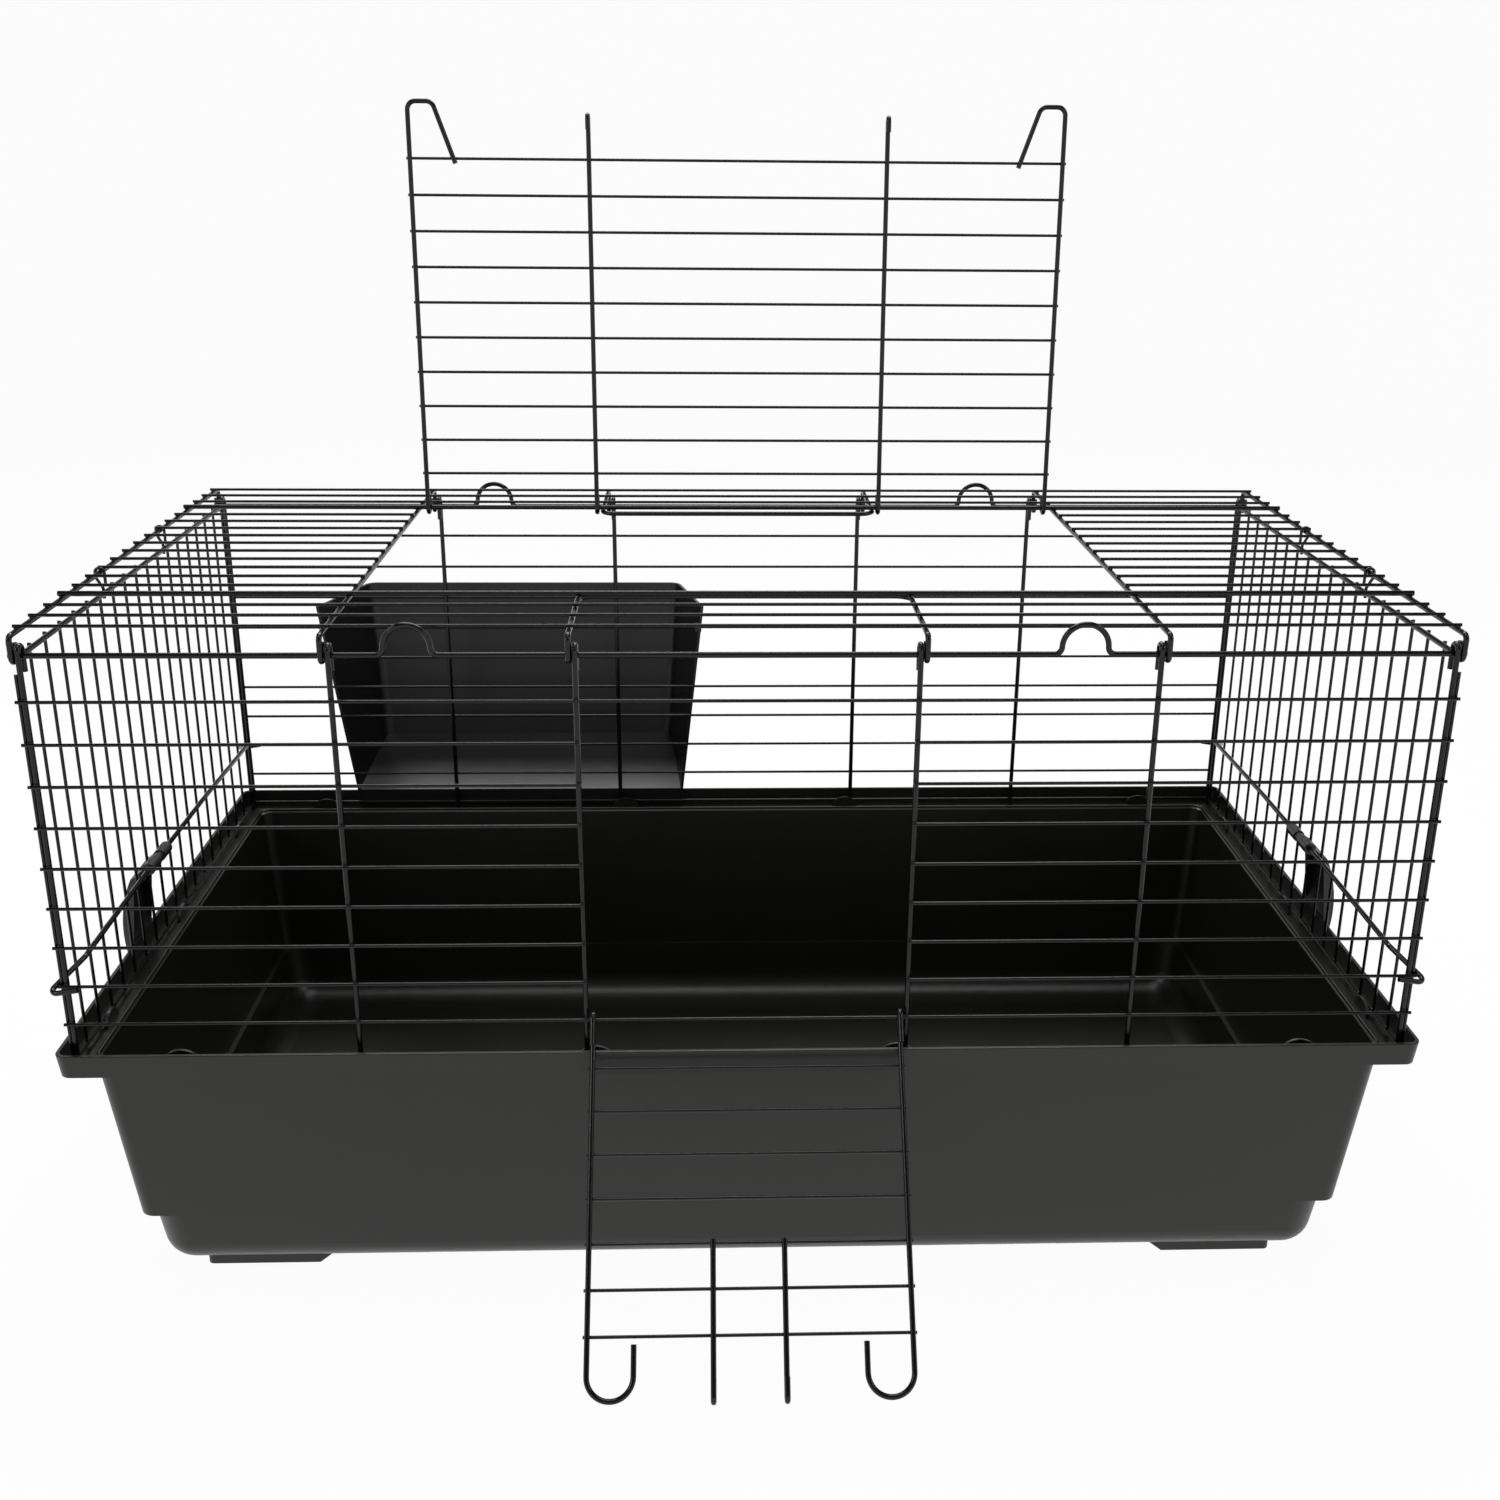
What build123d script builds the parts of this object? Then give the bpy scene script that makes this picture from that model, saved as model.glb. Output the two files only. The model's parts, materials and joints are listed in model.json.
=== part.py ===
from build123d import *
import math
import os

# Indoor rabbit cage, millimetres. The origin is the middle of the tray's footprint, on the floor.
# X runs along the cage, -Y is the door side, +Z is up. Wire heights are counted from the tray's rim.

# Rods
heavy_rod = 4.0
thin_rod = 2.4
weld_gap = 0.02
rod_gap = 0.3
wrap_gap = 0.1

# Tray
tray_length = 1000.0
tray_width = 540.0
tray_height = 222.0
rim_corner = 9.0
rim_round = 0.8
lip_drop = 18.0
lip_inset = 1.7
rim_wall = 3.0
channel_depth = 14.5
channel_width = 20.0
wall = 3.0
wall_top_inset = 20.0
wall_foot_inset = 33.0
shoulder_height = 64.0
shoulder_drop = 2.5
shoulder_inset = 37.5
well_inset = 43.5
well_bottom = 10.0
well_round = 24.0
well_corner = 26.0
ledge_rise = 1.0
mouth_round = 1.2
body_corner = 12.0
bead_width = 2.4
bead_rise = 2.2
bead_round = 0.9
foot_length = 89.0
foot_width = 60.0
foot_end_inset = 72.0
foot_side_inset = 60.0
foot_slope = 14.5
foot_corner = 5.0
tab_width = 26.5
tab_height = 10.5
tab_thickness = 2.4
front_tab_places = [-413.5, -111.5, 111.5, 413.5]
side_tab_places = [-190.0, 0.0, 190.0]
tab_gap = 0.4

# Wire panels
top_rail_rise = 295.05
rail_pitch = 30.45
rail_count = 11
post_line = 256.8
post_places = [117.15, 282.2]
corner_post_place = 486.6
rail_end = 491.5
top_rail_end = 494.5
rail_past_post = 1.9
hook_top = 302.0
hook_leg_end = 283.0
bump_place = 230.0
bump_width = 32.0
bump_foot = 5.0
side_bar_count = 19
side_bar_line = 489.85
side_rail_end = 246.0
side_hook_place = 76.0
side_hook_leg_end = 298.6
side_hook_foot = 6.0
side_hook_bend = 2.4
floor_gap = 0.3

# Roof
roof_long_rise = 309.2
roof_cross_count = 18
roof_cross_first = 241.4
roof_cross_end = 493.5
heavy_cross_number = 4
roof_edge_place = 491.05
opening_place = 287.05
opening_cross_past = 1.8
roof_bend = 4.0
loop_leg_end = 303.0
u_leg_place = 121.6
u_reach = 8.2
u_corner = 12.0

# Roof lid, with s counted along the lid from its hinge
lid_lean = 2.85
lid_side_place = 276.5
lid_middle_place = 126.3
lid_cross_first = 30.4
lid_cross_pitch = 29.3
lid_cross_count = 10
lid_cross_past = 3.4
lid_eye_leg = 11.0
lid_side_top = 339.0
lid_side_run = 20.5
lid_clip_run = 38.0
lid_clip_tip = 290.0
lid_bend = 7.0
lid_hook_top = 331.0
lid_hook_leg_end = 317.5
hook_radius = 3.5

# Front door, with s counted along the door from its hinge
door_rail_number = 10
door_side_place = 112.0
door_eye_play = 1.0
door_eye_leg = 19.0
door_cross_first = 34.3
door_cross_pitch = 30.77
door_cross_count = 7
door_cross_past = 3.2
door_turn_width = 32.0
door_turn_end = 260.6
door_turn_tip = 224.0
door_hook_places = [-25.5, 24.5]
door_hook_cross_number = 5
door_hook_start_past = 2.5
door_hook_top = 264.0
door_hook_leg_end = 246.4

# Tie bars
tie_bar_place = 481.0
tie_bar_rise = 64.5
tie_bar_bend_start = 232.0
tie_bar_bend_rise = 61.5
tie_bar_corner_reach = 12.5
tie_bar_corner_rise = 47.0
tie_bar_tip_place = 477.0
tie_bar_tip_rise = 50.5
tie_bar_bend = 4.5
latch_clear_run = 80.0

# Latch clips
latch_places = {"left": -2.0, "right": -1.0}
knuckle_wall = 2.7
knuckle_length = 19.0
latch_width = 48.0
latch_thickness = 3.0
latch_top_drop = 9.0
latch_rim_gap = 0.4
latch_bulge = 4.0
latch_toe_reach = 4.5
latch_toe_depth = 4.5
latch_toe_slope = 1.4
latch_arm_thickness = 4.0
latch_bar_gap = 2.9
latch_skin = 2.2
latch_skin_gap = 0.6
latch_sleeve_step = 1.0

# Hay rack
rack_front_left = -409.7
rack_front_right = -31.6
rack_back_left = -376.0
rack_back_right = -57.5
rack_top_rise = 194.0
rack_depth = 98.0
rack_foot_front_left = -382.7
rack_foot_front_right = -53.6
rack_foot_back_left = -365.0
rack_foot_back_right = -68.0
rack_foot_depth = 82.0
rack_wall = 2.6
rack_corner = 12.0
rack_rim_gap = 0.4
rack_floor_climb = 32.0
rack_wire_gap = 0.35
rack_flange_drop = 12.0
rack_hook_rail = 5
rack_hook_width = 6.0
rack_hook_reach = 5.2
rack_hook_drop = 5.0
rack_hook_thickness = 2.4

heavy = heavy_rod / 2
thin = thin_rod / 2
half_length = tray_length / 2
half_width = tray_width / 2
channel_z = tray_height - channel_depth
rail_line = post_line + heavy + thin + weld_gap
top_rail_line = post_line - 2 * heavy
leg_line = top_rail_line - 2 * heavy - wrap_gap
top_rail_z = tray_height + top_rail_rise
roof_long_z = tray_height + roof_long_rise
roof_cross_z = roof_long_z + heavy + thin + weld_gap
roof_heavy_z = roof_long_z + 2 * heavy + weld_gap
roof_cross_pitch = 2 * roof_cross_first / (roof_cross_count - 1)
lid_hinge_y = roof_cross_first - (heavy_cross_number - 1) * roof_cross_pitch
lid_arm = 2 * heavy + rod_gap
side_rail_line = side_bar_line - thin - heavy - weld_gap
side_foot_rail_line = side_bar_line - 2 * thin - weld_gap
side_bar_pitch = 2 * post_line / (side_bar_count - 1)
foot_rail_z = top_rail_z - (rail_count - 1) * rail_pitch
door_hinge_z = top_rail_z - (door_rail_number - 1) * rail_pitch
door_arm = heavy + thin + door_eye_play
tie_bar_z = tray_height + tie_bar_rise
tie_bar_front = rail_line + thin + heavy + rod_gap
mouth_inset = rim_wall + channel_width
rack_front_y = rail_line + thin + rack_wire_gap
door_gap_rails = range(3, door_rail_number)


def rod(start, end, radius):
    """Straight rod between two points."""
    run = Vector(end) - Vector(start)
    return Solid.make_cylinder(radius, run.length, Plane(origin=start, z_dir=run))


def swept_rod(path, radius):
    """Rod bent along a path of lines and arcs."""
    section = Plane(origin=path @ 0, z_dir=path % 0) * Circle(radius)
    return sweep(section, path=path).solid()


def bent_rod(points, bend, radius):
    """Rod through corner points, each corner rounded by the bend radius."""
    return swept_rod(FilletPolyline(*points, radius=bend), radius)


def mirrored(solid, plane):
    """Copy of a solid on the other side of a plane."""
    return solid.mirror(plane)


def write_node(name, solids):
    """One STEP file holding the node's separate solids."""
    node = Compound(children=list(solids)) if len(solids) > 1 else solids[0]
    export_step(node, f"parts/{name}.step")


def rail_z(number):
    """Height of a front or rear rail, counted from the top rail down."""
    return top_rail_z - (number - 1) * rail_pitch


def rim_box(inset, corner, height):
    """Rounded rectangle round the tray, inset from the rim's edge."""
    outline = RectangleRounded(tray_length - 2 * inset, tray_width - 2 * inset, corner)
    return Plane.XY.offset(height) * outline


def tray_blank():
    """Tray without its hollow: lip, tapered wall, shoulder and well."""
    lip_foot = tray_height - lip_drop
    lip = loft([rim_box(lip_inset, rim_corner, lip_foot), rim_box(0, rim_corner, tray_height)])
    lip = fillet(lip.edges().group_by(Axis.Z)[-1], rim_round)
    upper = loft([
        rim_box(wall_foot_inset, body_corner, shoulder_height),
        rim_box(wall_top_inset, body_corner, lip_foot),
    ])
    shoulder = loft([
        rim_box(shoulder_inset, well_corner, shoulder_height - shoulder_drop),
        rim_box(wall_foot_inset, body_corner, shoulder_height),
    ])
    well = loft([
        rim_box(well_inset, well_corner, well_bottom),
        rim_box(shoulder_inset, well_corner, shoulder_height - shoulder_drop),
    ])
    well = fillet(well.edges().group_by(Axis.Z)[0], well_round)
    return lip + upper + shoulder + well


def tray_hollow():
    """Space inside the tray: channel round the rim, upper part, ledge and well."""
    channel = extrude(rim_box(rim_wall, rim_corner - rim_wall, channel_z), channel_depth)
    ledge_z = shoulder_height + ledge_rise
    mouth = loft([
        rim_box(mouth_inset + mouth_round, body_corner - wall, channel_z - mouth_round),
        rim_box(mouth_inset, body_corner - wall, channel_z),
    ])
    upper = loft([
        rim_box(wall_foot_inset + wall, body_corner - wall, ledge_z),
        rim_box(mouth_inset + mouth_round, body_corner - wall, channel_z - mouth_round),
    ])
    well = loft([
        rim_box(well_inset + wall, well_corner - wall, well_bottom + wall),
        rim_box(shoulder_inset + wall, well_corner - wall, ledge_z),
    ])
    well = fillet(well.edges().group_by(Axis.Z)[0], well_round - wall / 2)
    return channel + mouth + upper + well


def channel_bead():
    """Raised bead along the channel's inner edge."""
    corner = body_corner - wall
    foot_z = channel_z - bead_round
    ring = rim_box(mouth_inset - bead_width, corner + bead_width, foot_z) - rim_box(mouth_inset, corner, foot_z)
    bead = extrude(ring, bead_round + bead_rise)
    return fillet(bead.edges().group_by(Axis.Z)[-1], bead_round)


def tray_foot(side_x, side_y):
    """Corner foot with a sloped inner end and rounded outer corners."""
    outer = side_x * (half_length - foot_end_inset)
    inner = side_x * (half_length - foot_end_inset - foot_length)
    slope = side_x * foot_slope
    top = well_bottom + wall / 2
    profile = make_face(Polyline(
        (outer, 0, 0), (inner, 0, 0), (inner - slope, 0, top), (outer, 0, top), close=True))
    foot = extrude(profile, foot_width / 2, both=True)
    foot = fillet(foot.edges().filter_by(Axis.Z), foot_corner)
    return Pos(0, side_y * (half_width - foot_side_inset - foot_width / 2), 0) * foot


def tray_tab(along):
    """Half-round tab that stands up from the channel floor, its back face on the XZ plane."""
    disc = Cylinder(tab_width / 2, tab_thickness, rotation=(90, 0, 0))
    squashed = scale(disc, by=(1, 1, tab_height / (tab_width / 2)))
    upper_half = squashed & Pos(0, 0, tab_height) * Box(tab_width, tab_thickness, 2 * tab_height)
    tab = Pos(0, tab_thickness / 2, 0) * upper_half
    return Pos(*along) * tab


def tray():
    """The whole moulded tray."""
    body = tray_blank() - tray_hollow() + channel_bead()
    for side_x in (-1, 1):
        for side_y in (-1, 1):
            body += tray_foot(side_x, side_y)
    wire_inside = post_line - heavy - tab_gap
    for place in front_tab_places:
        body += tray_tab((place, -wire_inside, channel_z))
        body += tray_tab((place, wire_inside - tab_thickness, channel_z))
    side_inside = side_foot_rail_line - thin - tab_gap
    for place in side_tab_places:
        turned = Rot(0, 0, 90) * tray_tab((place, side_inside - tab_thickness, channel_z))
        body += turned
        body += Rot(0, 0, -90) * tray_tab((-place, side_inside - tab_thickness, channel_z))
    return [body.solid()]


def cane_rod(foot, top, leg_end, side, place):
    """Upright rod whose top curls over a rail and comes down inside as a short leg."""
    radius = (post_line - leg_line) / 2
    outer = side * post_line
    inner = side * leg_line
    start = (place, outer, foot)
    turn_start = (place, outer, top)
    crown = (place, side * (post_line - radius), top + radius)
    turn_end = (place, inner, top)
    path = Line(start, turn_start) + ThreePointArc(turn_start, crown, turn_end)
    path += Line(turn_end, (place, inner, leg_end))
    return swept_rod(path, heavy)


def panel_posts(side):
    """Six heavy uprights of the front or rear panel, hooked over the top rail."""
    foot = channel_z + floor_gap
    places = [corner_post_place] + post_places
    places = [-place for place in places] + places
    top = tray_height + hook_top - (post_line - leg_line) / 2
    leg_end = tray_height + hook_leg_end
    return [cane_rod(foot, top, leg_end, side, place) for place in places]


def panel_rails(side):
    """Thin rails of the front or rear panel; the front ones stop at the door posts."""
    rails = []
    line = side * rail_line
    for number in range(2, rail_count + 1):
        z = rail_z(number)
        if side < 0 and number in door_gap_rails:
            stop = post_places[0] - rail_past_post
            rails.append(rod((-rail_end, line, z), (-stop, line, z), thin))
            rails.append(rod((stop, line, z), (rail_end, line, z), thin))
        else:
            rails.append(rod((-rail_end, line, z), (rail_end, line, z), thin))
    return rails


def top_rail(side):
    """Heavy top rail of the front or rear panel, with two half-round bumps."""
    line = side * top_rail_line
    reach = bump_width / 2
    path = Line((-top_rail_end, line, top_rail_z), (-bump_place - reach - bump_foot, line, top_rail_z))
    for place in (-bump_place, bump_place):
        left = place - reach
        right = place + reach
        left_start = (left - bump_foot, line, top_rail_z)
        left_end = (left, line, top_rail_z + bump_foot)
        right_start = (right, line, top_rail_z + bump_foot)
        right_end = (right + bump_foot, line, top_rail_z)
        bend = bump_foot * math.sqrt(0.5)
        left_middle = (left - bump_foot + bend, line, top_rail_z + bump_foot - bend)
        right_middle = (right + bump_foot - bend, line, top_rail_z + bump_foot - bend)
        top = (place, line, top_rail_z + bump_foot + reach)
        path += ThreePointArc(left_start, left_middle, left_end)
        path += ThreePointArc(left_end, top, right_start)
        path += ThreePointArc(right_start, right_middle, right_end)
        if place < 0:
            path += Line(right_end, (bump_place - reach - bump_foot, line, top_rail_z))
        else:
            path += Line(right_end, (top_rail_end, line, top_rail_z))
    return [swept_rod(path, heavy)]


def side_bar_foot():
    """Where the thin uprights of a side panel end in the channel."""
    return foot_rail_z - thin


def side_bars(side):
    """Thin uprights of a side panel; two of them curl round the roof's edge rod."""
    foot = side_bar_foot()
    plain_top = top_rail_z + heavy
    end_top = tray_height + hook_leg_end
    bars = []
    for number in range(side_bar_count):
        y = -post_line + number * side_bar_pitch
        top = end_top if number in (0, side_bar_count - 1) else plain_top
        bars.append(rod((side * side_bar_line, y, foot), (side * side_bar_line, y, top), thin))
    return bars


def side_hooks(side):
    """Two thin hooks of a side panel, up from its top rail and round the roof's edge rod."""
    turn = heavy + thin + rod_gap
    outer = side * (roof_edge_place + turn)
    inner = side * (roof_edge_place - turn)
    crown = (side * roof_edge_place, roof_long_z + turn)
    foot_x = side * side_bar_line
    jog_start = top_rail_z + heavy
    hooks = []
    for y in (-side_hook_place, side_hook_place):
        path = FilletPolyline(
            (foot_x, y, top_rail_z - side_hook_foot),
            (foot_x, y, jog_start),
            (outer, y, roof_long_z - turn),
            (outer, y, roof_long_z),
            radius=side_hook_bend)
        path += ThreePointArc((outer, y, roof_long_z), (crown[0], y, crown[1]), (inner, y, roof_long_z))
        path += Line((inner, y, roof_long_z), (inner, y, tray_height + side_hook_leg_end))
        hooks.append(swept_rod(path, thin))
    return hooks


def side_rails(side):
    """Heavy top rail and thin foot rail of a side panel."""
    top_end = side_rail_end - floor_gap
    top_x = side * side_rail_line
    foot_x = side * side_foot_rail_line
    foot_end = post_line - heavy - floor_gap
    return [
        rod((top_x, -top_end, top_rail_z), (top_x, top_end, top_rail_z), heavy),
        rod((foot_x, -foot_end, foot_rail_z), (foot_x, foot_end, foot_rail_z), thin),
    ]


def tie_bar(side):
    """Heavy rod along a short side, wound out round both corner posts."""
    tip = (side * tie_bar_tip_place, tie_bar_front, tray_height + tie_bar_tip_rise)
    corner = (side * (corner_post_place + tie_bar_corner_reach), tie_bar_front,
              tray_height + tie_bar_corner_rise)
    inside = (side * tie_bar_place, tie_bar_bend_start, tray_height + tie_bar_bend_rise)
    level = (side * tie_bar_place, latch_clear_run, tie_bar_z)
    half = [tip, corner, inside, level]
    front = [(x, -y, z) for x, y, z in half]
    return [bent_rod(front + half[::-1], tie_bar_bend, heavy)]


def loop_end(x, side):
    """End of a roof rod: short leg up, round under the top rail, up outside and over to roof level."""
    inner = side * (top_rail_line - 2 * heavy - wrap_gap)
    outer_line = top_rail_line + 2 * heavy + wrap_gap
    outer = side * outer_line
    under = (x, side * top_rail_line, top_rail_z - 2 * heavy - wrap_gap)
    bend = roof_bend * (1 - math.sqrt(0.5))
    rise_end = (x, outer, roof_long_z - roof_bend)
    level_start = (x, side * (outer_line - roof_bend), roof_long_z)
    path = Line((x, inner, tray_height + loop_leg_end), (x, inner, top_rail_z))
    path += ThreePointArc((x, inner, top_rail_z), under, (x, outer, top_rail_z))
    path += Line((x, outer, top_rail_z), rise_end)
    path += ThreePointArc(rise_end, (x, side * (outer_line - bend), roof_long_z - bend), level_start)
    return path, level_start


def roof_long_rods():
    """Heavy rods from front to back, looped round both top rails."""
    rods = []
    for x in (-roof_edge_place, -opening_place, opening_place, roof_edge_place):
        front, front_start = loop_end(x, -1)
        rear, rear_start = loop_end(x, 1)
        rods.append(swept_rod(front + Line(front_start, rear_start) + rear, heavy))
    return rods


def roof_u_rod(side):
    """Heavy U rod that stiffens the roof before or behind the opening."""
    left, left_start = loop_end(-u_leg_place, side)
    right, right_start = loop_end(u_leg_place, side)
    run = side * (lid_hinge_y - u_reach)
    middle = FilletPolyline(
        left_start, (-u_leg_place, run, roof_long_z), (u_leg_place, run, roof_long_z), right_start,
        radius=u_corner)
    return [swept_rod(left + middle + right, heavy)]


def roof_cross_y(number):
    """Place of a roof cross rod, counted from the rear."""
    return roof_cross_first - (number - 1) * roof_cross_pitch


def roof_heavy_rods():
    """The two heavy cross rods behind and before the opening; the rear one carries the lid."""
    numbers = (heavy_cross_number, roof_cross_count + 1 - heavy_cross_number)
    return [
        rod((-roof_cross_end, roof_cross_y(number), roof_heavy_z),
            (roof_cross_end, roof_cross_y(number), roof_heavy_z), heavy)
        for number in numbers
    ]


def roof_cross_rods():
    """Thin cross rods of the roof, cut at the opening."""
    rods = []
    last_heavy = roof_cross_count + 1 - heavy_cross_number
    for number in range(1, roof_cross_count + 1):
        y = roof_cross_y(number)
        if number in (heavy_cross_number, last_heavy):
            continue
        if heavy_cross_number < number < last_heavy:
            stop = opening_place - opening_cross_past
            rods.append(rod((-roof_cross_end, y, roof_cross_z), (-stop, y, roof_cross_z), thin))
            rods.append(rod((stop, y, roof_cross_z), (roof_cross_end, y, roof_cross_z), thin))
        else:
            rods.append(rod((-roof_cross_end, y, roof_cross_z), (roof_cross_end, y, roof_cross_z), thin))
    return rods


def lid_point(x, along, forward):
    """Point of the open lid: along it from the hinge, and forward of the hinge's plane."""
    lean = math.radians(lid_lean)
    y = lid_hinge_y + along * math.sin(lean) - forward * math.cos(lean)
    z = roof_heavy_z + along * math.cos(lean) + forward * math.sin(lean)
    return (x, y, z)


def lid_eye(x, stop):
    """Eye round the hinge rod and the straight run that follows it."""
    path = Line(lid_point(x, lid_eye_leg, -lid_arm), lid_point(x, 0, -lid_arm))
    path += ThreePointArc(lid_point(x, 0, -lid_arm), lid_point(x, -lid_arm, 0), lid_point(x, 0, lid_arm))
    return path + Line(lid_point(x, 0, lid_arm), lid_point(x, stop, lid_arm))


def lid_side_rods():
    """Outer rods of the lid, turned in at the top as slanted legs."""
    rods = []
    for side in (-1, 1):
        x = side * lid_side_place
        turn = side * (lid_side_place - lid_side_run)
        tip = side * (lid_side_place - lid_clip_run)
        straight_end = lid_side_top - lid_side_run
        path = lid_eye(x, straight_end)
        path += FilletPolyline(
            lid_point(x, straight_end, lid_arm), lid_point(x, lid_side_top, lid_arm),
            lid_point(turn, lid_side_top, lid_arm), lid_point(tip, lid_clip_tip, lid_arm),
            radius=lid_bend)
        rods.append(swept_rod(path, heavy))
    return rods


def lid_middle_rods():
    """Middle rods of the lid, with a cane hook at the top."""
    rods = []
    turn_start = lid_hook_top - heavy - hook_radius
    far = lid_arm + 2 * hook_radius
    for x in (-lid_middle_place, lid_middle_place):
        path = lid_eye(x, turn_start)
        path += ThreePointArc(
            lid_point(x, turn_start, lid_arm),
            lid_point(x, turn_start + hook_radius, lid_arm + hook_radius),
            lid_point(x, turn_start, far))
        path += Line(lid_point(x, turn_start, far), lid_point(x, lid_hook_leg_end, far))
        rods.append(swept_rod(path, heavy))
    return rods


def lid_cross_rods():
    """Thin cross rods of the lid, behind its long rods when it stands open."""
    reach = lid_side_place + lid_cross_past
    forward = lid_arm - heavy - thin - weld_gap
    places = [lid_cross_first + number * lid_cross_pitch for number in range(lid_cross_count)]
    return [rod(lid_point(-reach, along, forward), lid_point(reach, along, forward), thin)
            for along in places]


def door_lean():
    """Angle of the open door from upright, where its side rods lie on the tray's rim."""
    out = half_width - rim_round - rail_line
    down = door_hinge_z - tray_height + rim_round
    reach = door_arm + heavy + rod_gap + rim_round
    return math.atan2(out, down) + math.asin(reach / math.hypot(out, down))


def door_point(x, along, under):
    """Point of the open door: along it from the hinge, and under the hinge's plane."""
    lean = door_lean()
    y = -rail_line - along * math.sin(lean) + under * math.cos(lean)
    z = door_hinge_z - along * math.cos(lean) - under * math.sin(lean)
    return (x, y, z)


def door_side_rods():
    """Side rods of the door: a long eye round the hinge rail, and a turned-in lower end."""
    rods = []
    for side in (-1, 1):
        x = side * door_side_place
        inner = side * (door_side_place - door_turn_width)
        middle = side * (door_side_place - door_turn_width / 2)
        turn_start = door_turn_end - door_turn_width / 2
        path = Line(door_point(x, door_eye_leg, -door_arm), door_point(x, 0, -door_arm))
        path += ThreePointArc(
            door_point(x, 0, -door_arm), door_point(x, -door_arm, 0), door_point(x, 0, door_arm))
        path += Line(door_point(x, 0, door_arm), door_point(x, turn_start, door_arm))
        path += ThreePointArc(
            door_point(x, turn_start, door_arm),
            door_point(middle, door_turn_end, door_arm),
            door_point(inner, turn_start, door_arm))
        path += Line(door_point(inner, turn_start, door_arm), door_point(inner, door_turn_tip, door_arm))
        rods.append(swept_rod(path, heavy))
    return rods


def door_cross_rods():
    """Thin cross rods under the door's side rods."""
    reach = door_side_place + door_cross_past
    under = door_arm + heavy + thin + weld_gap
    places = [door_cross_first + number * door_cross_pitch for number in range(door_cross_count)]
    return [rod(door_point(-reach, along, under), door_point(reach, along, under), thin)
            for along in places]


def door_hook_rods():
    """Two hook rods that catch the second rail when the door is shut."""
    start = door_cross_first + (door_hook_cross_number - 1) * door_cross_pitch - door_hook_start_past
    turn_start = door_hook_top - heavy - hook_radius
    far = door_arm - 2 * hook_radius
    rods = []
    for x in door_hook_places:
        path = Line(door_point(x, start, door_arm), door_point(x, turn_start, door_arm))
        path += ThreePointArc(
            door_point(x, turn_start, door_arm),
            door_point(x, turn_start + hook_radius, door_arm - hook_radius),
            door_point(x, turn_start, far))
        path += Line(door_point(x, turn_start, far), door_point(x, door_hook_leg_end, far))
        rods.append(swept_rod(path, heavy))
    return rods


def latch_clip(middle):
    """Right-hand latch clip: sleeve and knuckles on the tie bar, arms, and a hollow lever."""
    lip_foot = tray_height - lip_drop
    lever_top = tie_bar_z - latch_top_drop
    inner_top = side_bar_line + thin + latch_bar_gap
    inner_foot = half_length + latch_rim_gap
    rim_level = tray_height + latch_rim_gap
    toe_top = lip_foot - latch_rim_gap
    toe_tip = half_length - latch_toe_reach
    toe_foot = toe_top - latch_toe_slope - latch_toe_depth
    outer_foot = inner_foot + latch_thickness
    outer_top = inner_top + latch_thickness
    middle_z = (lever_top + rim_level) / 2
    outer_middle = (inner_foot + outer_foot) / 2 + latch_bulge
    front = Polyline(
        (outer_top, lever_top), (inner_top, lever_top), (inner_foot, rim_level), (inner_foot, toe_top),
        (toe_tip, toe_top - latch_toe_slope), (toe_tip, toe_foot), (outer_foot, toe_foot))
    back = ThreePointArc((outer_foot, toe_foot), (outer_middle, middle_z), (outer_top, lever_top))
    profile = make_face(front + back)
    lever = extrude(Plane.XZ * profile, latch_width / 2, both=True)
    pocket_back = ThreePointArc(
        (inner_foot + latch_skin_gap, rim_level), (outer_middle - latch_skin, middle_z),
        (inner_top + latch_skin_gap, lever_top - latch_skin))
    pocket_front = Polyline(
        (inner_top + latch_skin_gap, lever_top - latch_skin), (inner_top - latch_skin, lever_top - latch_skin),
        (inner_top - latch_skin, rim_level), (inner_foot + latch_skin_gap, rim_level))
    pocket_width = latch_width / 2 - latch_skin
    lever -= extrude(Plane.XZ * make_face(pocket_front + pocket_back), pocket_width, both=True)
    bore_radius = heavy + rod_gap
    knuckle_radius = bore_radius + knuckle_wall
    sleeve = Cylinder(knuckle_radius - latch_sleeve_step, latch_width - 2 * latch_skin, rotation=(90, 0, 0))
    clip = lever + Pos(tie_bar_place, 0, tie_bar_z) * sleeve
    for arm_y in (-side_bar_pitch / 2, side_bar_pitch / 2):
        knuckle = Cylinder(knuckle_radius, knuckle_length, rotation=(90, 0, 0))
        clip += Pos(tie_bar_place, arm_y, tie_bar_z) * knuckle
        arm_profile = make_face(Polyline(
            (tie_bar_place, tie_bar_z + knuckle_radius - latch_sleeve_step),
            (tie_bar_place, tie_bar_z - bore_radius),
            (inner_top + latch_sleeve_step, lever_top - latch_arm_thickness),
            (outer_top - latch_sleeve_step, lever_top),
            close=True))
        arm = extrude(Plane.XZ * arm_profile, knuckle_length / 2, both=True)
        clip += Pos(0, arm_y, 0) * arm
    bore = Cylinder(bore_radius, latch_width, rotation=(90, 0, 0))
    clip -= Pos(tie_bar_place, 0, tie_bar_z) * bore
    return Pos(0, middle, 0) * clip


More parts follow.
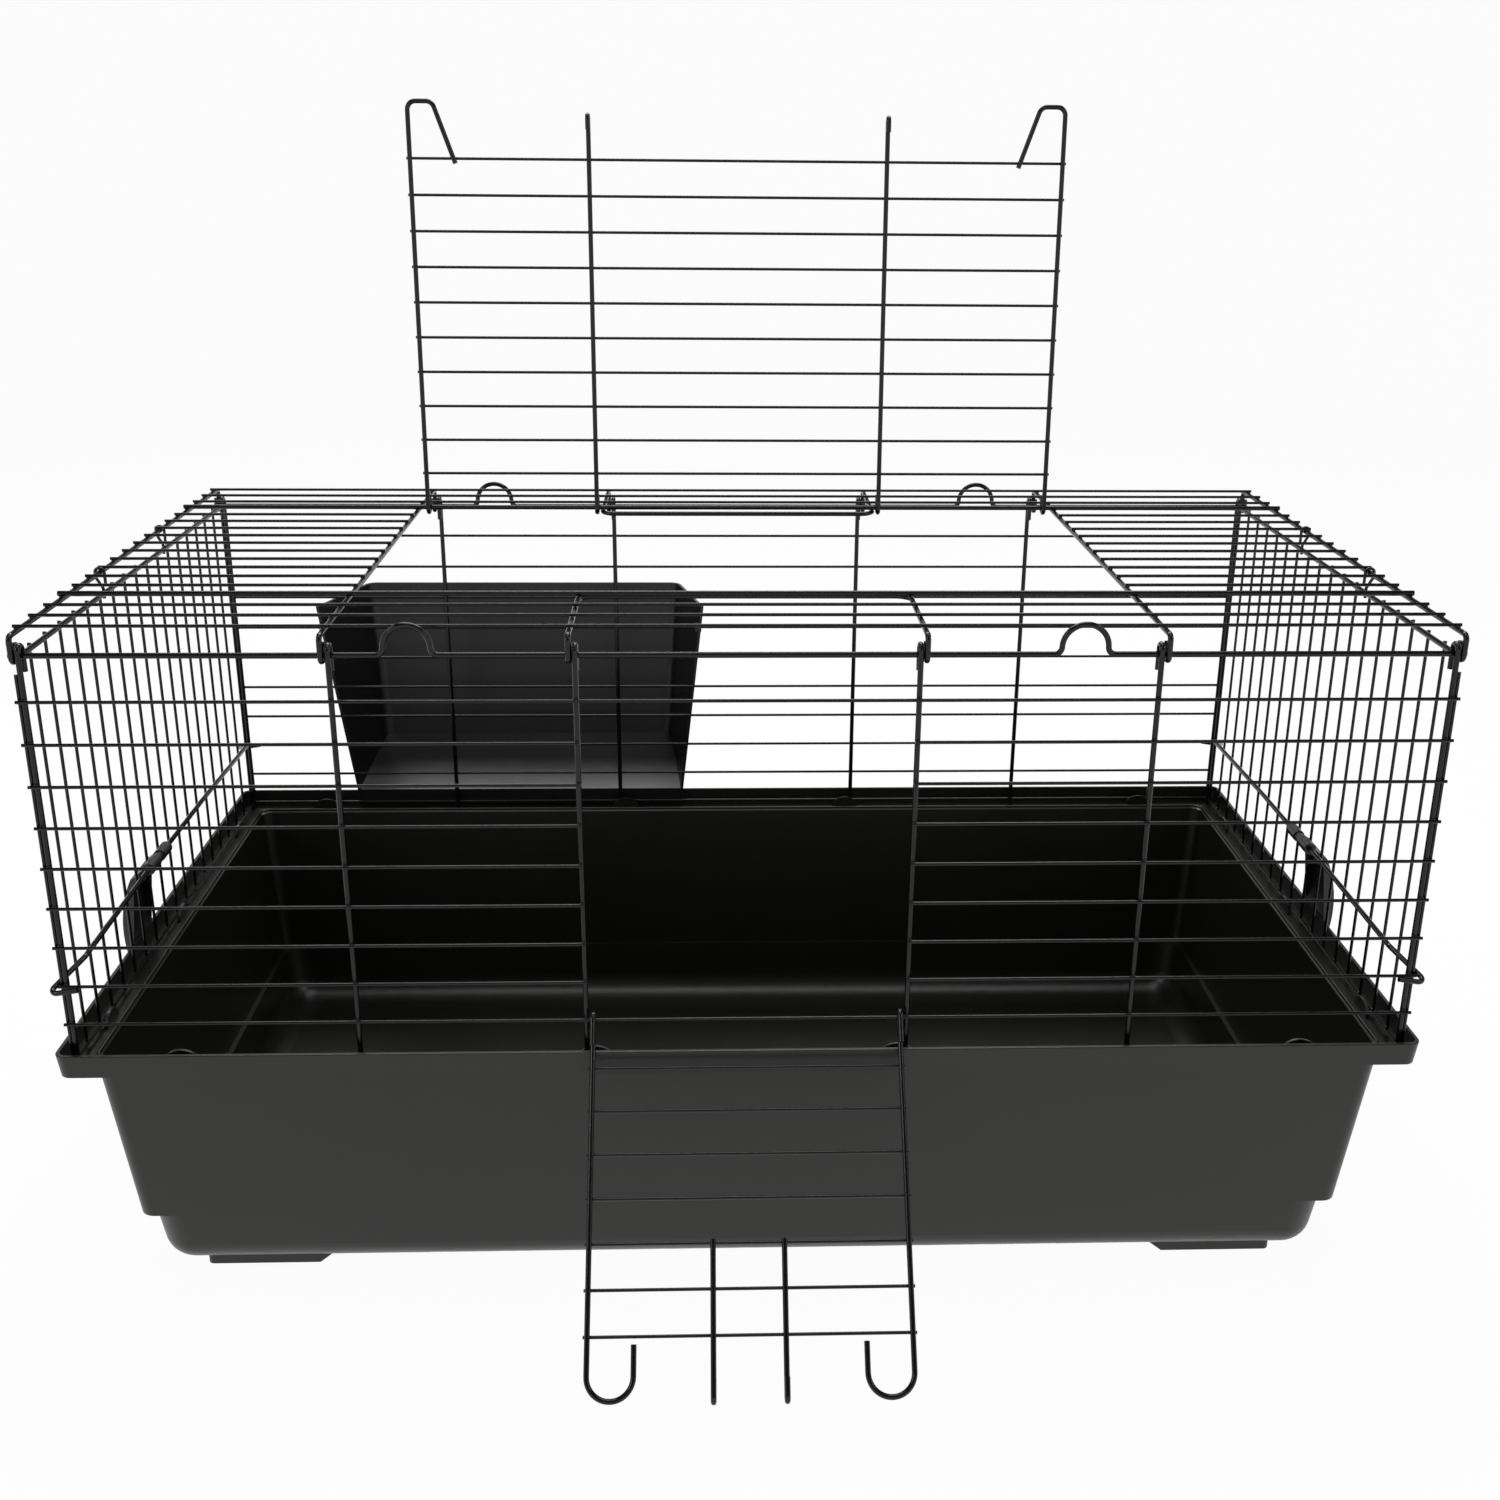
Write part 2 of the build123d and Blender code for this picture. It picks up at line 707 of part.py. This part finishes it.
def rack_outline(inset, open_front, low, height):
    """Plan of the hay rack at its foot or its top: straight front, narrower back with round corners."""
    front_y = rack_front_y - open_front
    front_left = rack_foot_front_left if low else rack_front_left
    front_right = rack_foot_front_right if low else rack_front_right
    back_left = rack_foot_back_left if low else rack_back_left
    back_right = rack_foot_back_right if low else rack_back_right
    full_depth = rack_foot_depth if low else rack_depth
    slope_left = (back_left - front_left) / full_depth
    slope_right = (front_right - back_right) / full_depth
    left = front_left + inset
    right = front_right - inset
    depth = full_depth - inset
    corners = [
        (left - slope_left * open_front, front_y),
        (left + slope_left * depth, rack_front_y + depth),
        (right - slope_right * depth, rack_front_y + depth),
        (right + slope_right * open_front, front_y),
    ]
    face = make_face(Polyline(*corners, close=True))
    face = fillet(face.vertices().group_by(Axis.Y)[-1], rack_corner - inset)
    return Plane.XY.offset(height) * face


def rack_wedge(front_z):
    """Space under the rack's sloping floor."""
    low = front_z - rack_floor_climb
    back_z = front_z + rack_floor_climb * rack_depth / rack_foot_depth
    back_y = rack_front_y + rack_depth
    drop = rack_floor_climb / rack_foot_depth * rack_corner
    profile = make_face(Polyline(
        (rack_front_y - rack_corner, low), (back_y, low), (back_y, back_z),
        (rack_front_y - rack_corner, front_z - drop), close=True))
    middle = (rack_front_left + rack_front_right) / 2
    return extrude(Plane.YZ.offset(middle) * profile, rack_front_right - rack_front_left, both=True)


def hay_rack():
    """Moulded hay rack, open at the top and towards the cage, hung outside the rear panel."""
    foot_z = tray_height + rack_rim_gap
    top_z = tray_height + rack_top_rise
    outer = loft([rack_outline(0, 0, True, foot_z), rack_outline(0, 0, False, top_z)])
    outer -= rack_wedge(foot_z)
    inner = loft([
        rack_outline(rack_wall, rack_wall, True, foot_z),
        rack_outline(rack_wall, rack_wall, False, top_z),
    ])
    inner -= rack_wedge(foot_z + rack_wall)
    body = outer - inner
    flange_length = rack_foot_front_right - rack_foot_front_left
    flange_height = rack_flange_drop + rack_rim_gap + rack_wall
    flange = Box(flange_length, rack_wall, flange_height, align=(Align.MIN, Align.MIN, Align.MIN))
    body += Pos(rack_foot_front_left, rack_front_y, tray_height - rack_flange_drop) * flange
    for hook_x in rack_hook_places():
        body += rack_hook(hook_x)
    return [body.solid()]


def rack_hook_places():
    """Middle of the rack's two hooks, on the front edges of its side walls."""
    share = (rack_top_rise - rail_z(rack_hook_rail) + tray_height) / rack_top_rise
    left = rack_front_left + share * (rack_foot_front_left - rack_front_left)
    right = rack_front_right - share * (rack_front_right - rack_foot_front_right)
    return (left + rack_hook_width / 2, right - rack_hook_width / 2)


def rack_hook(x):
    """Small hook over a rear rail."""
    over_z = rail_z(rack_hook_rail) + thin + rod_gap
    inner_y = rail_line - thin - rod_gap - rack_hook_thickness
    profile = make_face(Polyline(
        (rack_front_y + rack_wall, over_z - rack_hook_drop), (rack_front_y, over_z - rack_hook_drop),
        (rack_front_y, over_z), (inner_y + rack_hook_thickness, over_z),
        (inner_y + rack_hook_thickness, over_z - rack_hook_drop), (inner_y, over_z - rack_hook_drop),
        (inner_y, over_z + rack_hook_thickness), (rack_front_y + rack_wall, over_z + rack_hook_thickness),
        close=True))
    return extrude(Plane.YZ.offset(x) * profile, rack_hook_width / 2, both=True)


def main():
    os.makedirs("parts", exist_ok=True)
    write_node("tray", tray())
    for name, side in (("front", -1), ("rear", 1)):
        write_node(f"{name}_panel_posts", panel_posts(side))
        write_node(f"{name}_panel_rails", panel_rails(side))
        write_node(f"{name}_top_rail", top_rail(side))
        write_node(f"roof_{name}_u_rod", roof_u_rod(side))
    for name, side in (("left", -1), ("right", 1)):
        write_node(f"{name}_side_bars", side_bars(side))
        write_node(f"{name}_side_hooks", side_hooks(side))
        write_node(f"{name}_side_rails", side_rails(side))
        write_node(f"{name}_tie_bar", tie_bar(side))
        clip = latch_clip(latch_places[name] * side_bar_pitch)
        clip = clip if side > 0 else mirrored(clip, Plane.YZ)
        write_node(f"{name}_latch_clip", [clip.solid()])
    write_node("roof_long_rods", roof_long_rods())
    write_node("roof_heavy_cross_rods", roof_heavy_rods())
    write_node("roof_cross_rods", roof_cross_rods())
    write_node("lid_side_rods", lid_side_rods())
    write_node("lid_middle_rods", lid_middle_rods())
    write_node("lid_cross_rods", lid_cross_rods())
    write_node("door_side_rods", door_side_rods())
    write_node("door_cross_rods", door_cross_rods())
    write_node("door_hook_rods", door_hook_rods())
    write_node("hay_rack", hay_rack())
    print("door lean", round(math.degrees(door_lean()), 3))


main()
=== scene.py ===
import json
import math

import bpy
from mathutils import Matrix, Vector


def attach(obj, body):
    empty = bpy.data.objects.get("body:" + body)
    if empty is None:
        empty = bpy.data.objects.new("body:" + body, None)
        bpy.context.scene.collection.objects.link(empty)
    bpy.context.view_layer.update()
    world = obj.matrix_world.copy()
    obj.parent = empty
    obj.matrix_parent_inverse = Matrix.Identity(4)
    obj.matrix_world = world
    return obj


# Looks of the rabbit cage: glossy black rods with their welds, a grained black tray, a smooth hay rack.
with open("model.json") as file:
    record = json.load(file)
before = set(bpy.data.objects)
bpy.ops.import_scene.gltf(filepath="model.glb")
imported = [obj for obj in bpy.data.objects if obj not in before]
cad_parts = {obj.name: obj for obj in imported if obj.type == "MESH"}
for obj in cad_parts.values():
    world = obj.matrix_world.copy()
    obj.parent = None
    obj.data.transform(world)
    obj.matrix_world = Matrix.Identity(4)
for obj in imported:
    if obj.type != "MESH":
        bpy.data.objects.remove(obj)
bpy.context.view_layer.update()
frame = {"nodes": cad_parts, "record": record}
nodes = frame["nodes"]

MM = 0.001
HEAVY = 2.0 * MM
THIN = 1.2 * MM

# Welds where rods cross
BEAD_LONG = 2.1 * MM
BEAD_FLAT = 1.1 * MM
BEAD_SEGMENTS = 8
BEAD_RINGS = 5
WELD_REACH = 0.6 * MM
SAME_PLACE = 0.01 * MM
ROD_WIDTH = 5.0 * MM
LID_LEAN = math.radians(2.85)
DOOR_LEAN = math.radians(40.81)
LID_NORMAL = Vector((0.0, -math.cos(LID_LEAN), math.sin(LID_LEAN)))
DOOR_NORMAL = Vector((0.0, -math.cos(DOOR_LEAN), math.sin(DOOR_LEAN)))

# Camera, fitted to the photo and raised with the tray's depth
CAMERA_PLACE = Vector((-0.02707, -1.35696, 0.8403))
CAMERA_YAW = 0.037759
CAMERA_PITCH = -0.35197
CAMERA_ROLL = 0.0090888
CAMERA_LENS = 40.63
CAMERA_SENSOR = 36.0
CAMERA_SHIFT_X = -0.0126
CAMERA_SHIFT_Y = 0.0126

# Studio
WORLD_LIGHT = 0.1
FLOOR_GLOW = 0.96
BACKDROP_WHITE = 0.9
FLOOR_SIZE = 16.0
WALL_DISTANCE = 5.0
WALL_HEIGHT = 1.9
WALL_SIDES = 96
LAMPS = {
    "lamp_over": {"place": (0.1, -0.2, 2.6), "target": (0.0, 0.0, 0.2), "size": (2.0, 1.0), "power": 16.0},
    "lamp_behind": {"place": (-0.1, 1.5, 2.5), "target": (0.0, 0.2, 0.3), "size": (2.4, 1.0), "power": 62.0},
    "lamp_left": {"place": (-2.3, -1.3, 2.0), "target": (0.0, 0.0, 0.3), "size": (0.8, 1.0), "power": 16.0},
    "lamp_right": {"place": (2.3, -1.0, 2.1), "target": (0.0, 0.0, 0.3), "size": (0.8, 1.0), "power": 12.0},
}

# Finishes
WHITE = (1.0, 1.0, 1.0, 1.0)
ROD_COLOUR = (0.0035, 0.0035, 0.004)
TRAY_COLOUR = (0.0048, 0.0052, 0.0026)
RACK_COLOUR = (0.0048, 0.0048, 0.005)
CLIP_COLOUR = (0.006, 0.006, 0.0062)

# Base colour's lift, from the darkest to the lightest spot
ROD_TINT = (0.7, 1.5)
TRAY_TINT = (0.85, 1.2)
RACK_TINT = (0.8, 1.25)
CLIP_TINT = (0.85, 1.25)

# Roughness, from the shiniest to the dullest spot
ROD_ROUGHNESS = (0.12, 0.24)
TRAY_ROUGHNESS = (0.26, 0.44)
RACK_ROUGHNESS = (0.24, 0.38)
CLIP_ROUGHNESS = (0.32, 0.46)
ROD_SPECULAR = 0.34

# Fine relief: depth and strength
ROD_RELIEF = (0.12 * MM, 0.5)
TRAY_RELIEF = (0.2 * MM, 0.35)
RACK_RELIEF = (0.15 * MM, 0.25)
CLIP_RELIEF = (0.18 * MM, 0.4)

# Noise patterns: scale per metre, detail and, where it isn't the usual one, roughness
ROD_CLOUD = (60.0, 3.0)
ROD_PEEL = (900.0, 2.0)
TRAY_CLOUD = (5.0, 4.0)
TRAY_GRAIN = (1400.0, 3.0, 0.7)
TRAY_SCUFF = (38.0, 6.0, 0.75)
TRAY_CLOUD_SHARE = 0.6
RACK_CLOUD = (9.0, 4.0)
RACK_GRAIN = (1100.0, 2.0)
CLIP_CLOUD = (30.0, 4.0)
CLIP_GRAIN = (1600.0, 2.0)


class Socket:
    """A shader value that takes part in Python expressions."""

    def __init__(self, material, link):
        self.material = material
        self.link = link

    def math(self, operation, other, swapped=False):
        first, second = (other, self) if swapped else (self, other)
        made = self.material.node("ShaderNodeMath", {"operation": operation}, {0: first, 1: second})
        return made.out(0)

    def __add__(self, other):
        return self.math("ADD", other)

    def __radd__(self, other):
        return self.math("ADD", other, True)

    def __sub__(self, other):
        return self.math("SUBTRACT", other)

    def __rsub__(self, other):
        return self.math("SUBTRACT", other, True)

    def __mul__(self, other):
        return self.math("MULTIPLY", other)

    def __rmul__(self, other):
        return self.math("MULTIPLY", other, True)


class Made:
    """A node that was just made, with its outputs by number or name."""

    def __init__(self, material, shader_node):
        self.material = material
        self.shader_node = shader_node

    def out(self, key):
        return Socket(self.material, self.shader_node.outputs[key])


class Finish:
    """A material built from expressions."""

    def __init__(self, name):
        self.material = bpy.data.materials.new(name)
        self.material.use_nodes = True
        self.tree = self.material.node_tree
        self.tree.nodes.clear()

    def node(self, kind, settings=None, inputs=None):
        shader_node = self.tree.nodes.new(kind)
        for key, value in (settings or {}).items():
            setattr(shader_node, key, value)
        for key, value in (inputs or {}).items():
            if isinstance(value, Socket):
                self.tree.links.new(value.link, shader_node.inputs[key])
            else:
                shader_node.inputs[key].default_value = value
        return Made(self, shader_node)

    def place(self):
        return self.node("ShaderNodeTexCoord").out("Object")

    def noise(self, scale, detail=2.0, roughness=0.5):
        return self.node("ShaderNodeTexNoise", None, {
            "Vector": self.place(), "Scale": scale, "Detail": detail, "Roughness": roughness}).out(0)

    def spread(self, value, low, high):
        return self.node("ShaderNodeMapRange", None, {
            "Value": value, "To Min": low, "To Max": high}).out(0)

    def tint(self, share, first, second):
        mixed = self.node("ShaderNodeMix", {"data_type": "RGBA"}, {0: share, 6: first, 7: second})
        return mixed.out(2)

    def bump(self, height, distance, strength=1.0):
        return self.node("ShaderNodeBump", None, {
            "Height": height, "Distance": distance, "Strength": strength}).out(0)

    def shade(self, inputs):
        surface = self.node("ShaderNodeBsdfPrincipled", None, inputs)
        self.node("ShaderNodeOutputMaterial", None, {"Surface": surface.out(0)})
        return self.material


def colour(values, lift=1.0):
    return tuple(value * lift for value in values) + (1.0,)


def lifted(values, lifts):
    """The darkest and the lightest shade of a base colour."""
    return [colour(values, lift) for lift in lifts]


def rod_enamel():
    """Glossy black enamel with a faint orange peel and a few duller spots."""
    finish = Finish("black_rod")
    cloud = finish.noise(*ROD_CLOUD)
    peel = finish.noise(*ROD_PEEL)
    return finish.shade({
        "Base Color": finish.tint(cloud, *lifted(ROD_COLOUR, ROD_TINT)),
        "Roughness": finish.spread(cloud, *ROD_ROUGHNESS),
        "Specular IOR Level": ROD_SPECULAR,
        "Normal": finish.bump(peel, *ROD_RELIEF),
    })


def tray_plastic():
    """Moulded black plastic: fine grain, slow gloss changes and faint scuffs."""
    finish = Finish("tray_plastic")
    cloud = finish.noise(*TRAY_CLOUD)
    grain = finish.noise(*TRAY_GRAIN)
    scuff = finish.noise(*TRAY_SCUFF)
    mottle = cloud * TRAY_CLOUD_SHARE + scuff * (1.0 - TRAY_CLOUD_SHARE)
    return finish.shade({
        "Base Color": finish.tint(cloud, *lifted(TRAY_COLOUR, TRAY_TINT)),
        "Roughness": finish.spread(mottle, *TRAY_ROUGHNESS),
        "Normal": finish.bump(grain, *TRAY_RELIEF),
    })


def rack_plastic():
    """Smoother, glossier black plastic of the hay rack."""
    finish = Finish("rack_plastic")
    cloud = finish.noise(*RACK_CLOUD)
    grain = finish.noise(*RACK_GRAIN)
    return finish.shade({
        "Base Color": finish.tint(cloud, *lifted(RACK_COLOUR, RACK_TINT)),
        "Roughness": finish.spread(cloud, *RACK_ROUGHNESS),
        "Normal": finish.bump(grain, *RACK_RELIEF),
    })


def clip_plastic():
    """Semi-matte black plastic of the latch clips."""
    finish = Finish("clip_plastic")
    cloud = finish.noise(*CLIP_CLOUD)
    grain = finish.noise(*CLIP_GRAIN)
    return finish.shade({
        "Base Color": finish.tint(cloud, *lifted(CLIP_COLOUR, CLIP_TINT)),
        "Roughness": finish.spread(cloud, *CLIP_ROUGHNESS),
        "Normal": finish.bump(grain, *CLIP_RELIEF),
    })


def studio_paint(name):
    """White paint that stays white to the camera and in mirrors, and keeps the shadow."""
    finish = Finish(name)
    rays = finish.node("ShaderNodeLightPath")
    mirror_ray = rays.out("Is Glossy Ray") + rays.out("Is Transmission Ray")
    seen = rays.out("Is Camera Ray") + mirror_ray
    diffuse = finish.node("ShaderNodeBsdfDiffuse", None, {"Color": colour((BACKDROP_WHITE,) * 3)}).out(0)
    glow = finish.node("ShaderNodeEmission", None, {"Color": WHITE, "Strength": 1.0}).out(0)
    mixed = finish.node("ShaderNodeMixShader", None, {0: seen * FLOOR_GLOW, 1: diffuse, 2: glow}).out(0)
    finish.node("ShaderNodeOutputMaterial", None, {"Surface": mixed})
    return finish.material


FINISHES = {
    "black_rod": rod_enamel(),
    "tray_plastic": tray_plastic(),
    "rack_plastic": rack_plastic(),
    "clip_plastic": clip_plastic(),
}


def finish_nodes():
    """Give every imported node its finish."""
    for entry in frame["record"]["subparts"]:
        shown = nodes[entry["node"]]
        material = FINISHES[entry["material_slot"]]
        shown.data.materials.clear()
        shown.data.materials.append(material)


def nothing_selected():
    bpy.ops.object.select_all(action="DESELECT")


def solid_boxes(node):
    """Lowest and highest corner of each separate solid of a node."""
    nothing_selected()
    copy = nodes[node].copy()
    copy.data = nodes[node].data.copy()
    bpy.context.scene.collection.objects.link(copy)
    copy.select_set(True)
    bpy.context.view_layer.objects.active = copy
    bpy.ops.object.mode_set(mode="EDIT")
    bpy.ops.mesh.select_all(action="SELECT")
    bpy.ops.mesh.remove_doubles(threshold=SAME_PLACE)
    bpy.ops.mesh.separate(type="LOOSE")
    bpy.ops.object.mode_set(mode="OBJECT")
    parts = list(bpy.context.selected_objects)
    boxes = []
    for part in parts:
        places = [vertex.co for vertex in part.data.vertices]
        low = Vector([min(place[axis] for place in places) for axis in range(3)])
        high = Vector([max(place[axis] for place in places) for axis in range(3)])
        boxes.append((low, high))
    for part in parts:
        bpy.data.objects.remove(part)
    return boxes


def set_camera():
    forward = Vector((
        math.sin(CAMERA_YAW) * math.cos(CAMERA_PITCH),
        math.cos(CAMERA_YAW) * math.cos(CAMERA_PITCH),
        math.sin(CAMERA_PITCH)))
    level_right = Vector((math.cos(CAMERA_YAW), -math.sin(CAMERA_YAW), 0.0))
    level_up = level_right.cross(forward)
    right = math.cos(CAMERA_ROLL) * level_right + math.sin(CAMERA_ROLL) * level_up
    up = -math.sin(CAMERA_ROLL) * level_right + math.cos(CAMERA_ROLL) * level_up
    camera = bpy.data.objects.new("camera", bpy.data.cameras.new("camera"))
    camera.data.lens = CAMERA_LENS
    camera.data.sensor_width = CAMERA_SENSOR
    camera.data.sensor_fit = "HORIZONTAL"
    camera.data.shift_x = CAMERA_SHIFT_X
    camera.data.shift_y = CAMERA_SHIFT_Y
    turn = Matrix((right, up, -forward)).transposed()
    camera.matrix_world = Matrix.Translation(CAMERA_PLACE) @ turn.to_4x4()
    bpy.context.scene.collection.objects.link(camera)
    bpy.context.scene.camera = camera


def soft_lamp(name, place, target, size, power):
    lamp = bpy.data.lights.new(name, "AREA")
    lamp.shape = "RECTANGLE"
    lamp.size = size[0]
    lamp.size_y = size[1]
    lamp.energy = power
    holder = bpy.data.objects.new(name, lamp)
    aim = (Vector(target) - Vector(place)).to_track_quat("-Z", "Y")
    holder.matrix_world = Matrix.Translation(place) @ aim.to_matrix().to_4x4()
    bpy.context.scene.collection.objects.link(holder)


def set_world():
    """Dim room, so that upward faces stay dark between the lamps."""
    world = bpy.data.worlds.new("studio")
    world.use_nodes = True
    tree = world.node_tree
    tree.nodes.clear()
    dim = tree.nodes.new("ShaderNodeBackground")
    dim.inputs["Color"].default_value = WHITE
    dim.inputs["Strength"].default_value = WORLD_LIGHT
    output = tree.nodes.new("ShaderNodeOutputWorld")
    tree.links.new(dim.outputs[0], output.inputs["Surface"])
    bpy.context.scene.world = world


def set_backdrop():
    """White floor and a low white ring round it."""
    paint = studio_paint("white_backdrop")
    nothing_selected()
    bpy.ops.mesh.primitive_plane_add(size=FLOOR_SIZE)
    floor = bpy.context.active_object
    floor.name = "floor"
    nothing_selected()
    bpy.ops.mesh.primitive_cylinder_add(
        vertices=WALL_SIDES, radius=WALL_DISTANCE, depth=WALL_HEIGHT, end_fill_type="NOTHING",
        location=(0.0, 0.0, WALL_HEIGHT / 2))
    wall = bpy.context.active_object
    wall.name = "ring_wall"
    for piece in (floor, wall):
        piece.data.materials.append(paint)


def set_studio():
    bpy.context.scene.view_settings.view_transform = "Standard"
    set_world()
    set_backdrop()
    for name, lamp in LAMPS.items():
        soft_lamp(name, lamp["place"], lamp["target"], lamp["size"], lamp["power"])


def middle(box):
    return (box[0] + box[1]) / 2


def crossings(first, second, normal):
    """Places where the rods of two nodes cross, as seen along the normal axis."""
    places = []
    along, up = [axis for axis in range(3) if axis != normal]
    for one in first:
        for other in second:
            low = [max(one[0][axis], other[0][axis]) for axis in range(3)]
            high = [min(one[1][axis], other[1][axis]) for axis in range(3)]
            if high[along] - low[along] < WELD_REACH or high[up] - low[up] < WELD_REACH:
                continue
            if abs(high[normal] - low[normal]) > WELD_REACH:
                continue
            places.append(Vector([(low[axis] + high[axis]) / 2 for axis in range(3)]))
    return places


def beads(name, body, places, flat_axis):
    """One mesh of small flattened weld beads on a body."""
    nothing_selected()
    bpy.ops.mesh.primitive_uv_sphere_add(segments=BEAD_SEGMENTS, ring_count=BEAD_RINGS, radius=BEAD_LONG)
    piece = bpy.context.active_object
    piece.name = name
    bpy.ops.object.mode_set(mode="EDIT")
    bpy.ops.mesh.select_all(action="SELECT")
    bpy.ops.mesh.delete(type="VERT")
    flat = [1.0, 1.0, 1.0]
    flat[flat_axis] = BEAD_FLAT / BEAD_LONG
    for place in places:
        bpy.ops.mesh.primitive_uv_sphere_add(
            segments=BEAD_SEGMENTS, ring_count=BEAD_RINGS, radius=BEAD_LONG, location=place, scale=flat)
    bpy.ops.object.mode_set(mode="OBJECT")
    bpy.ops.object.shade_smooth_by_angle()
    piece.data.materials.append(FINISHES["black_rod"])
    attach(piece, body)


def panel_welds():
    """Welds of the front, rear and side panels and of the roof's long rods."""
    for side in ("front", "rear"):
        posts = solid_boxes(f"{side}_panel_posts")
        rails = solid_boxes(f"{side}_panel_rails")
        beads(f"{side}_panel_welds", "base", crossings(posts, rails, 1), 1)
    for side in ("left", "right"):
        bars = solid_boxes(f"{side}_side_bars")
        rails = solid_boxes(f"{side}_side_rails")
        beads(f"{side}_side_welds", "base", crossings(bars, rails, 0), 0)
    long_rods = solid_boxes("roof_long_rods")
    cross = solid_boxes("roof_cross_rods") + solid_boxes("roof_heavy_cross_rods")
    places = crossings(long_rods, cross, 2)
    beads("roof_welds", "base", places, 2)


def leaf_welds(name, body, cross_node, upright_nodes, normal):
    """Welds of a leaning leaf, whose cross rods lie along X against its long rods."""
    centres = [middle(box) for box in solid_boxes(cross_node)]
    places = []
    for node in upright_nodes:
        for low, high in solid_boxes(node):
            inner = (low.x + high.x) / 2
            wide = high.x - low.x > ROD_WIDTH
            x = inner if not wide else math.copysign(max(abs(low.x), abs(high.x)) - HEAVY, inner)
            for centre in centres:
                if low.z < centre.z < high.z:
                    places.append(Vector((x, centre.y, centre.z)) + normal * THIN)
    beads(name, body, places, 1)


finish_nodes()
set_camera()
set_studio()
panel_welds()
leaf_welds("lid_welds", "roof_lid", "lid_cross_rods", ("lid_side_rods", "lid_middle_rods"), LID_NORMAL)
leaf_welds("door_welds", "front_door", "door_cross_rods", ("door_side_rods", "door_hook_rods"), DOOR_NORMAL)
